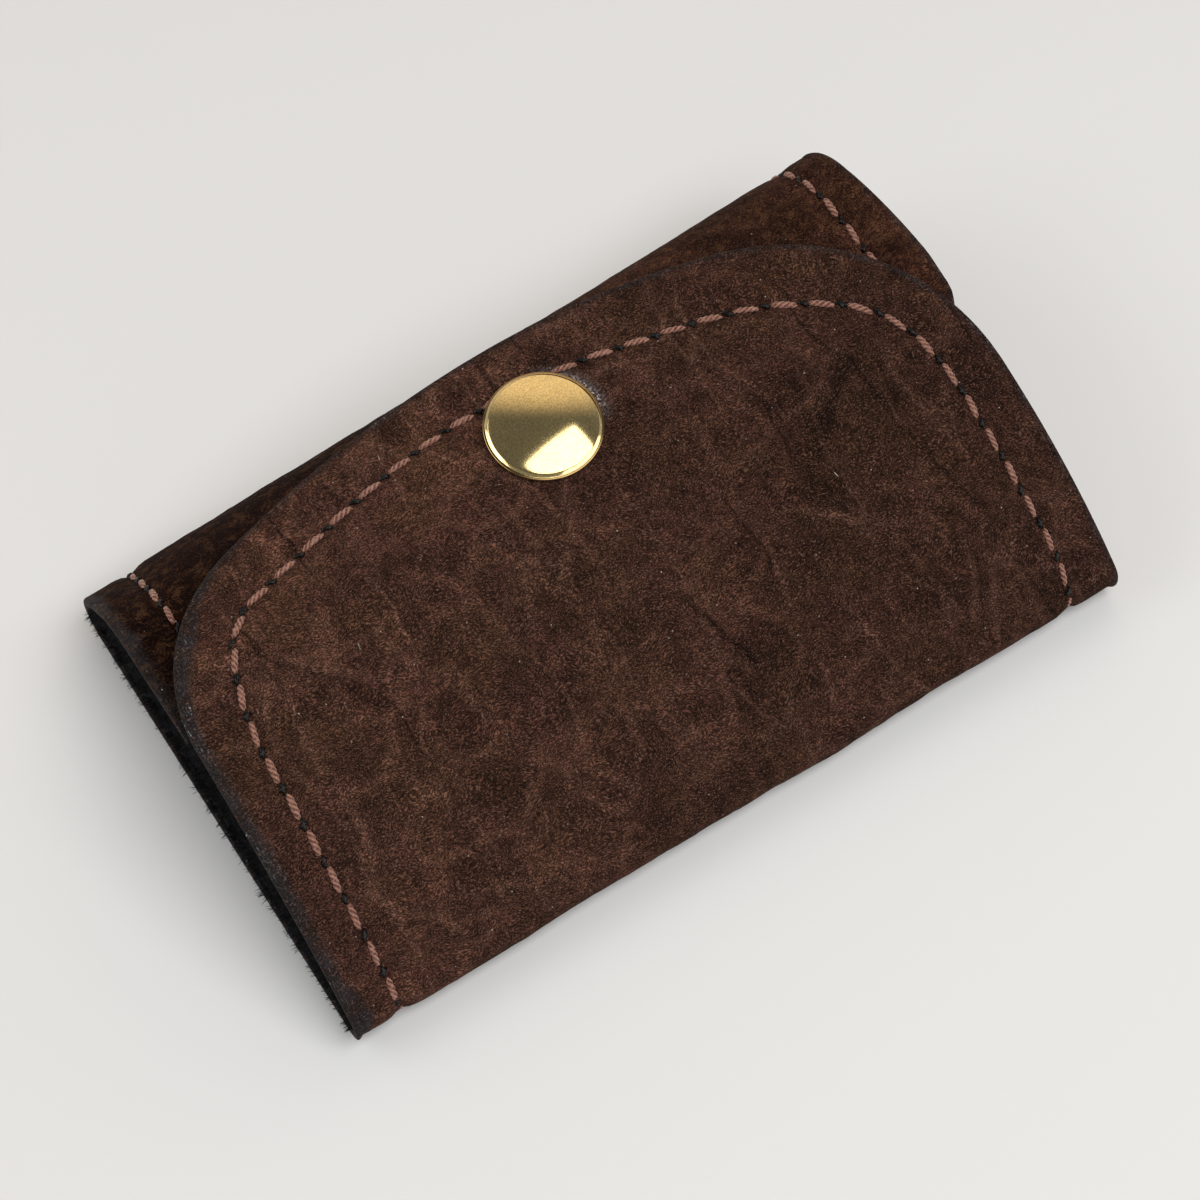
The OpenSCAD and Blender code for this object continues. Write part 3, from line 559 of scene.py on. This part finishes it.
for panel, start, stop, cut, bodies, direction in divided:
    last = (lambda x, edge=stop: edge(x) - math.copysign(trim, edge(0.0))) if cut else line_at(stop)
    length = abs(float(last(np.zeros(1))[0]) - start)
    piece, low, high = cut_sheet(panel + "_cloth", lined_columns, spaced(length), line_at(start), last,
                                 lining_top, stack, free_edge=cut, roundness=0.4 * mm, grain=None,
                                 pile=tufts, fringe=ragged)
    piece.data.materials.append(napped)
    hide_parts(panel + "_lining")
    if direction:
        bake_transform(piece)
    else:
        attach(piece, bodies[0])

# The seam is sewn with two threads: a tan twisted one that dips into each needle hole, and a black one on
# the lining side that is pulled up through the hole and shows as a short knot between two tan stitches.
spun = bpy.data.node_groups.new("spun_thread", "ShaderNodeTree")
for label, kind, way in (("Hide", "NodeSocketVector", "INPUT"), ("Scale", "NodeSocketFloat", "INPUT"),
                         ("Height", "NodeSocketFloat", "OUTPUT"),
                         ("Stray fibres", "NodeSocketFloat", "OUTPUT")):
    spun.interface.new_socket(label, in_out=way, socket_type=kind)
given = spun.nodes.new("NodeGroupInput")
result = spun.nodes.new("NodeGroupOutput")
fuzz = put(spun, "TexNoise", {"Vector": given.outputs[0], "Scale": given.outputs[1], "Detail": 3})
spun.links.new(fuzz.outputs["Fac"], result.inputs[0])
spun.links.new(ramp(spun, fuzz.outputs["Fac"], 0.4, 0.75), result.inputs[1])


def thread(name, scale, strand, stray, stray_share, bump, **values):
    """A spun thread, from the colours of its strands and of the stray fibres on them. A strand that
    is given as two colours gets painted shade between its plies and painted light on their backs."""
    material, tree, shader = new_material(name, **values)
    hide = put(tree, "Attribute", attribute_name="hide").outputs["Vector"]
    fibres = put(tree, "Group", {"Hide": hide, "Scale": scale}, node_tree=spun).outputs
    if len(strand) == 2:
        ply = put(tree, "Attribute", attribute_name="ply").outputs["Fac"]
        strand = tint(tree, ramp(tree, ply, 0.15, 0.95), *strand)
    share = maths(tree, "MULTIPLY", fibres["Stray fibres"], stray_share)
    tree.links.new(tint(tree, share, strand, stray), shader.inputs["Base Color"])
    fuzzy = put(tree, "Bump", {"Height": fibres["Height"], "Strength": bump, "Distance": 0.1 * mm})
    tree.links.new(fuzzy.outputs[0], shader.inputs["Normal"])
    return material


# The tan strand's two colours are painted shade between the plies and painted light on their backs.
tan_thread = thread("tan_thread", 3000, (colour(78, 44, 34), colour(160, 109, 90)), colour(188, 144, 124),
                    0.6, 0.5, Roughness=0.7, Specular_IOR_Level=0.3, Sheen_Weight=0.2)
black_thread = thread("black_thread", 2600, colour(2, 2, 2), colour(13, 12, 12), 1.0, 0.6, Roughness=0.3,
                      Specular_IOR_Level=0.22)
tan_radius, black_radius = 0.4 * mm, 0.22 * mm
thread_sides, flattened, lobe_depth, taper = 9, 0.85, 0.14, 2.6
pulled_on_folds = 0.45 * mm


def lay_thread(bm, ply_layer, start, end, radius, proud, dive, plies):
    """Lays one length of twisted thread between two flat places, with a count of ply bands. Proud is how
    high its back stands over the grain side, and dive how deep its ends go. The face below the lining is
    reached with a proud so low."""
    made = bmesh.ops.create_grid(bm, x_segments=6 + 4 * plies, y_segments=thread_sides, size=0.5)["verts"]
    length = np.linalg.norm(end - start)
    forward = (end - start) / length
    aside = np.array([-forward[1], forward[0]])
    middle = flattened * radius - proud
    along = np.linspace(0, 1, 5)
    under = start + along[:, None] * (end - start)
    sunk = handled(under) + pulled_on_folds * folded(under) if dive > 0 else np.zeros(5)
    fullness, first_ply = radius * strands.uniform(0.88, 1.08), strands.uniform(0, 6)
    for v in made:
        u, around = v.co.x + 0.5, 2 * math.pi * (v.co.y + 0.5)
        lobe = math.cos(3 * around - 2 * math.pi * plies * u - first_ply)
        r = fullness * math.sqrt(max(0.05, 1 - abs(2 * u - 1) ** taper)) * (1 + lobe_depth * lobe)
        place = start + forward * length * u + aside * r * math.cos(around)
        low = middle + np.interp(u, along, sunk) + dive * abs(2 * u - 1) ** 4
        v.co = (place[0], place[1], low - flattened * r * math.sin(around))
        v[ply_layer] = 0.5 + 0.5 * lobe
    bmesh.ops.remove_doubles(bm, verts=made, dist=0.004 * mm)


def sew(name, material, stitches, radius, proud, dive, plies, bodies):
    """One piece of thread for every stitch whose middle lies on a panel."""
    bm = bmesh.new()
    ply_layer = bm.verts.layers.float.new("ply")
    for start, end in stitches:
        lay_thread(bm, ply_layer, start, end, radius, proud, dive, plies)
    bmesh.ops.holes_fill(bm, edges=bm.edges, sides=thread_sides)
    flat = np.array([v.co for v in bm.verts])
    for v, place in zip(bm.verts, wrap(flat)):
        v.co = place
    bmesh.ops.recalc_face_normals(bm, faces=bm.faces)
    for f in bm.faces:
        f.smooth = True
    mesh = bpy.data.meshes.new(name)
    bm.to_mesh(mesh)
    bm.free()
    mesh.attributes.new("hide", "FLOAT_VECTOR", "POINT").data.foreach_set("vector", flat.ravel())
    piece = bpy.data.objects.new(name, mesh)
    bpy.context.scene.collection.objects.link(piece)
    piece.data.materials.append(material)
    if len(bodies) > 1:
        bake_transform(piece)
    else:
        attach(piece, bodies[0])


# A stitch stops short of both its holes by a share of its length, and slants across the row. On the
# table and round the tight folds the stitches are pulled in level with the grain.
gap, slant = 0.11, 0.2 * mm
pulled_level = ("back", "near_fold", "far_fold_lower")
for panel, start, stop, cut, bodies, direction in divided:
    low, high = sorted((start, math.copysign(1, start) if cut else stop))
    tan_stitches, knots, under_stitches = [], [], []
    for row in rows:
        for a, b in zip(row[:-1], row[1:]):
            ahead = (b - a) / np.linalg.norm(b - a)
            side = np.array([ahead[1], -ahead[0]])
            if low <= (a[1] + b[1]) / 2 < high:
                tan_stitches.append((a + gap * (b - a) + slant * side, b - gap * (b - a) - slant * side))
                under_stitches.append((a, b))
            if low <= b[1] < high:
                for reach, turn in ((0.9 * mm, 0.3), (0.65 * mm, 1.05)):
                    turn += strands.uniform(-0.25, 0.25)
                    reach *= strands.uniform(0.85, 1.15)
                    step = reach * (math.cos(turn) * ahead - math.sin(turn) * side)
                    knots.append((b - step, b + step))
    proud = -0.04 * mm if panel in pulled_level else 0.18 * mm
    name = "back_panel" if panel == "back" else panel
    sew(name + "_tan_thread", tan_thread, tan_stitches, tan_radius, proud, 0.6 * mm, 5,
        carried_by[panel])
    sew(name + "_black_knots", black_thread, knots, black_radius, min(proud, 0.12 * mm),
        0.5 * mm, 2, carried_by[panel])
    # On the lining only the black thread shows.
    sew(name + "_under_thread", black_thread, under_stitches, black_radius,
        -(stack - 0.35 * mm), -0.4 * mm, 2, carried_by[panel])

# The snap's cap is pressed from brass and polished: a low dome, a steep shoulder and a flat thin lip that
# is darkened as a painted dark reflection. Its tube goes through the outer flap to the socket.
cap_radius, cap_dome, rim_height = 7.5 * mm, 1.7 * mm, 1.1 * mm
tube_radius, tube_end = 2.3 * mm, -3.4 * mm
above_grain = 0.05 * mm
dome_base = rim_height / 2
dome_radius = (cap_radius ** 2 + cap_dome ** 2) / (2 * cap_dome)
centre, ahead, right_of, left_of = wrap([
    (snap_x, snap_t, 0), (snap_x, snap_t - mm, 0),
    (snap_x + cap_radius, snap_t, 0), (snap_x - cap_radius, snap_t, 0)])
snap_pull = math.radians(3)
snap_tilt = math.atan2(ahead[2] - centre[2], ahead[1] - centre[1]) + snap_pull
snap_lean = -math.atan((right_of[2] - left_of[2]) / (2 * cap_radius))
snap_turn = Matrix.Rotation(snap_lean, 4, "Y") @ Matrix.Rotation(snap_tilt, 4, "X")
snap_place = Matrix.Translation(centre) @ snap_turn
# From the dome to the lip the profile falls in short steps of a length and a slope in degrees.
bends = [(0.02 * mm, slope) for slope in (27, 31, 35)]
bends += [(0.05 * mm, slope) for slope in np.linspace(38, 45, 9)]
bends += [(0.05 * mm, slope) for slope in (24, 10, 6, 8, 22)]
bends += [(0.03 * mm, slope) for slope in range(40, 91, 8)]
shoulder = sum(step * math.cos(math.radians(slope)) for step, slope in bends)
lip_from, crease = cap_radius - 0.3 * mm, cap_radius - shoulder
profile = [(r, dome_base + cap_dome - dome_radius + math.sqrt(dome_radius ** 2 - r ** 2))
           for r in np.linspace(0, crease, 32)]
for step, slope in bends:
    profile.append((profile[-1][0] + step * math.cos(math.radians(slope)),
                    profile[-1][1] - step * math.sin(math.radians(slope))))
lip = profile[-1][1] / 2
profile += [(cap_radius - lip + lip * math.cos(a), lip + lip * math.sin(a))
            for a in np.radians(np.linspace(-10, -90, 5))]
profile += [(tube_radius, 0), (tube_radius, tube_end), (0, tube_end)]
bm = bmesh.new()
chain = [bm.verts.new((r, 0, z + above_grain)) for r, z in profile]
edges = [bm.edges.new(pair) for pair in zip(chain[:-1], chain[1:])]
bmesh.ops.spin(bm, geom=chain + edges, cent=(0, 0, 0), axis=(0, 0, 1), angle=2 * math.pi, steps=128,
               use_merge=True)
bmesh.ops.remove_doubles(bm, verts=bm.verts, dist=0.001 * mm)
bmesh.ops.recalc_face_normals(bm, faces=bm.faces)
bm.transform(snap_place)
for e in bm.edges:
    e.smooth = e.calc_face_angle(0) < math.radians(35)
for f in bm.faces:
    f.smooth = True
mesh = bpy.data.meshes.new("domed_cap")
bm.to_mesh(mesh)
bm.free()
flat_cap = [snap_place.inverted() @ v.co for v in mesh.vertices]
mesh.attributes.new("out", "FLOAT", "POINT").data.foreach_set("value", [p.xy.length for p in flat_cap])
cap = bpy.data.objects.new("domed_cap", mesh)
bpy.context.scene.collection.objects.link(cap)

# Handling wipes faint marks into every metal and dulls it a little.
wear = bpy.data.node_groups.new("handled_metal", "ShaderNodeTree")
for label, kind, way in (("Roughness", "NodeSocketFloat", "INPUT"), ("Marks", "NodeSocketFloat", "INPUT"),
                         ("Roughness", "NodeSocketFloat", "OUTPUT"),
                         ("Height", "NodeSocketFloat", "OUTPUT"), ("Dulling", "NodeSocketFloat", "OUTPUT")):
    wear.interface.new_socket(label, in_out=way, socket_type=kind)
given = wear.nodes.new("NodeGroupInput")
result = wear.nodes.new("NodeGroupOutput")
on_piece = put(wear, "TexCoord").outputs["Object"]
smear = put(wear, "TexNoise", {"Vector": on_piece, "Scale": 350, "Detail": 4}).outputs["Fac"]
one_way = put(wear, "Mapping", {"Vector": on_piece, "Rotation": (0, 0, 0.6), "Scale": (1, 14, 1)})
wipe = put(wear, "TexNoise", {"Vector": one_way.outputs[0], "Scale": 900, "Detail": 3}).outputs["Fac"]
wear.links.new(maths(wear, "ADD", given.outputs[0], maths(wear, "MULTIPLY", given.outputs[1], smear)),
               result.inputs[0])
wear.links.new(wipe, result.inputs[1])
wear.links.new(smear, result.inputs[2])


def metal(name, fresh, dulled, roughness, marks, bump):
    """A handled metal with faint wiping marks and a little dulling, from its fresh and dulled colours."""
    material, tree, shader = new_material(name, Metallic=1.0)
    worn = put(tree, "Group", {"Roughness": roughness, "Marks": marks}, node_tree=wear).outputs
    tree.links.new(worn["Roughness"], shader.inputs["Roughness"])
    tree.links.new(tint(tree, ramp(tree, worn["Dulling"], 0.4, 0.75), fresh, dulled),
                   shader.inputs["Base Color"])
    wiped = put(tree, "Bump", {"Height": worn["Height"], "Strength": bump, "Distance": 0.02 * mm})
    tree.links.new(wiped.outputs[0], shader.inputs["Normal"])
    return material


polished = metal("polished_brass", (0.83, 0.63, 0.27, 1), (0.76, 0.58, 0.25, 1), 0.07, 0.08, 0.12)
# Fine specks dull the dome, partly dust and partly a painted reflection of the leather's grain. Painted
# shade darkens a line round the crease, and the lip is darkened as a painted dark reflection.
tree = polished.node_tree
shader = tree.nodes["Principled BSDF"]
out = put(tree, "Attribute", attribute_name="out").outputs["Fac"]
on_cap = put(tree, "TexCoord").outputs["Object"]
# Specks on the dome: partly dust and partly a painted reflection of the leather's grain.
speck = put(tree, "TexNoise", {"Vector": on_cap, "Scale": 5200, "Detail": 2})
speck = ramp(tree, speck.outputs["Fac"], 0.35, 0.65)
specks = tint(tree, speck, (0.72, 0.72, 0.72, 1), (1.08, 1.08, 1.08, 1))
# Painted reflection: the lip is darkened as if it mirrored dark surroundings.
on_lip = ramp(tree, out, lip_from - 0.05 * mm, lip_from + 0.05 * mm)
painted_rim_shade = tint(tree, on_lip, specks, (0.36, 0.29, 0.2, 1))
# Painted shade: a dark line round the crease at the dome's foot.
off_crease = maths(tree, "ABSOLUTE", maths(tree, "SUBTRACT", out, crease + 0.04 * mm))
in_crease = ramp(tree, off_crease, 0.05 * mm, 0.02 * mm, 0.0, 0.8)
painted_rim_shade = tint(tree, in_crease, painted_rim_shade, (0.4, 0.28, 0.16, 1))
shader.inputs["Coat Weight"].default_value = 0.8
tree.links.new(tint(tree, 1.0, shader.inputs["Base Color"].links[0].from_socket, painted_rim_shade, "MULTIPLY"),
               shader.inputs["Base Color"])
cap.data.materials.append(polished)
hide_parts("snap_cap")
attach(cap, "outer_flap")

# The rest of the metal keeps its shapes from the source. The snap's socket, stud and post are plain brass,
# the key plate with its rod, rivets, washers and hooks is nickel plated steel, and the gates and the
# snap's wire are bare spring steel.
plain_brass = metal("plain_brass", (0.72, 0.55, 0.25, 1), (0.5, 0.37, 0.17, 1), 0.25, 0.25, 0.2)
nickel = metal("nickel_plate", (0.72, 0.70, 0.66, 1), (0.6, 0.58, 0.54, 1), 0.14, 0.2, 0.15)
spring_steel = metal("spring_steel", (0.55, 0.55, 0.56, 1), (0.4, 0.4, 0.41, 1), 0.3, 0.2, 0.2)
finishes = {"snap_socket": plain_brass, "snap_stud": plain_brass, "snap_post": plain_brass,
            "snap_spring": spring_steel, "gate": spring_steel}
for name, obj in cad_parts.items():
    if not obj.hide_render:
        finish = finishes.get(name, finishes.get(name.rsplit("_", 1)[0], nickel))
        obj.data.materials.clear()
        obj.data.materials.append(finish)

# The camera looks down on the closed case from the photograph's angle and distance, with a square frame.
# Its numbers were solved from the stitch rows, the ends and the folds.
elevation, azimuth, roll = math.radians(59.4), math.radians(-122.8), math.radians(0.34)
camera_distance, focal_pixels, frame_pixels = 323 * mm, 2518.4, 1200
turned = (Matrix.Rotation(azimuth + math.pi / 2, 4, "Z")
          @ Matrix.Rotation(math.pi / 2 - elevation, 4, "X") @ Matrix.Rotation(-roll, 4, "Z"))
camera_data = bpy.data.cameras.new("camera")
camera_data.sensor_width = 36
camera_data.lens = 36 * focal_pixels / frame_pixels
camera_data.clip_start = 10 * mm
camera = bpy.data.objects.new("camera", camera_data)
camera.matrix_world = (Matrix.Translation((0, -0.4 * mm, 0)) @ turned
                       @ Matrix.Translation((0.2 * mm, 0.3 * mm, camera_distance)))
bpy.context.scene.collection.objects.link(camera)
bpy.context.scene.camera = camera

# The case lies on a plain pale floor. A soft box stands over the camera's right and a weaker one on the
# left, in a plain room with a bright far wall and two low windows that only the metal mirrors.
floor_material, tree, shader = new_material("pale_floor", Base_Color=(0.8, 0.8, 0.79, 1), Roughness=0.9)
bm = bmesh.new()
bmesh.ops.create_grid(bm, x_segments=1, y_segments=1, size=2,
                      matrix=Matrix.Translation((0, 0, -0.05 * mm)))
mesh = bpy.data.meshes.new("floor")
bm.to_mesh(mesh)
bm.free()
floor = bpy.data.objects.new("floor", mesh)
mesh.materials.append(floor_material)
bpy.context.scene.collection.objects.link(floor)


def soft_box(name, place, along, size, watts):
    """A soft box that faces the case, with its width along a direction."""
    lamp = bpy.data.lights.new(name, "AREA")
    lamp.shape, lamp.size, lamp.size_y, lamp.energy = "RECTANGLE", size[0], size[1], watts
    obj = bpy.data.objects.new(name, lamp)
    back = Vector(place).normalized()
    wide = (Vector(along) - Vector(along).dot(back) * back).normalized()
    turn = Matrix((wide, back.cross(wide), back)).transposed().to_4x4()
    obj.matrix_world = Matrix.Translation(place) @ turn
    bpy.context.scene.collection.objects.link(obj)


soft_box("key", (0.11, -0.31, 0.68), (0.99, 0.15, 0), (0.8, 0.6), 4.6)
soft_box("side", (-0.52, 0.365, 0.40), (0.57, 0.82, 0), (0.7, 0.3), 1.3)
world = bpy.data.worlds.new("room")
bpy.context.scene.world = world
world.use_nodes = True
tree = world.node_tree
way = put(tree, "TexCoord").outputs["Generated"]
height = put(tree, "SeparateXYZ", {0: way}).outputs[2]
far_wall = put(tree, "VectorMath", {0: way, 1: (0.51, 0.79, 0.34)}, operation="DOT_PRODUCT")
far_wall = far_wall.outputs["Value"]
room = tint(tree, ramp(tree, height, 0.0, 0.75), (0.5, 0.5, 0.5, 1), (0.15, 0.15, 0.155, 1))
room = tint(tree, ramp(tree, far_wall, 0.64, 0.96), room, (1.05, 0.88, 0.7, 1))
low_down = maths(tree, "MULTIPLY", ramp(tree, height, 0.03, 0.08), ramp(tree, height, 0.52, 0.46))
mirrored = put(tree, "LightPath").outputs["Is Glossy Ray"]
for heading, narrow in ((160, 0.82), (-59, 0.74)):
    toward = (math.cos(math.radians(heading)), math.sin(math.radians(heading)), 0)
    facing = put(tree, "VectorMath", {0: way, 1: toward}, operation="DOT_PRODUCT").outputs["Value"]
    pane = maths(tree, "MULTIPLY", ramp(tree, facing, narrow, narrow + 0.04), low_down)
    room = tint(tree, maths(tree, "MULTIPLY", pane, mirrored), room, (2.8, 2.8, 2.7, 1))
tree.links.new(room, tree.nodes["Background"].inputs["Color"])
bpy.context.scene.view_settings.view_transform = "Standard"
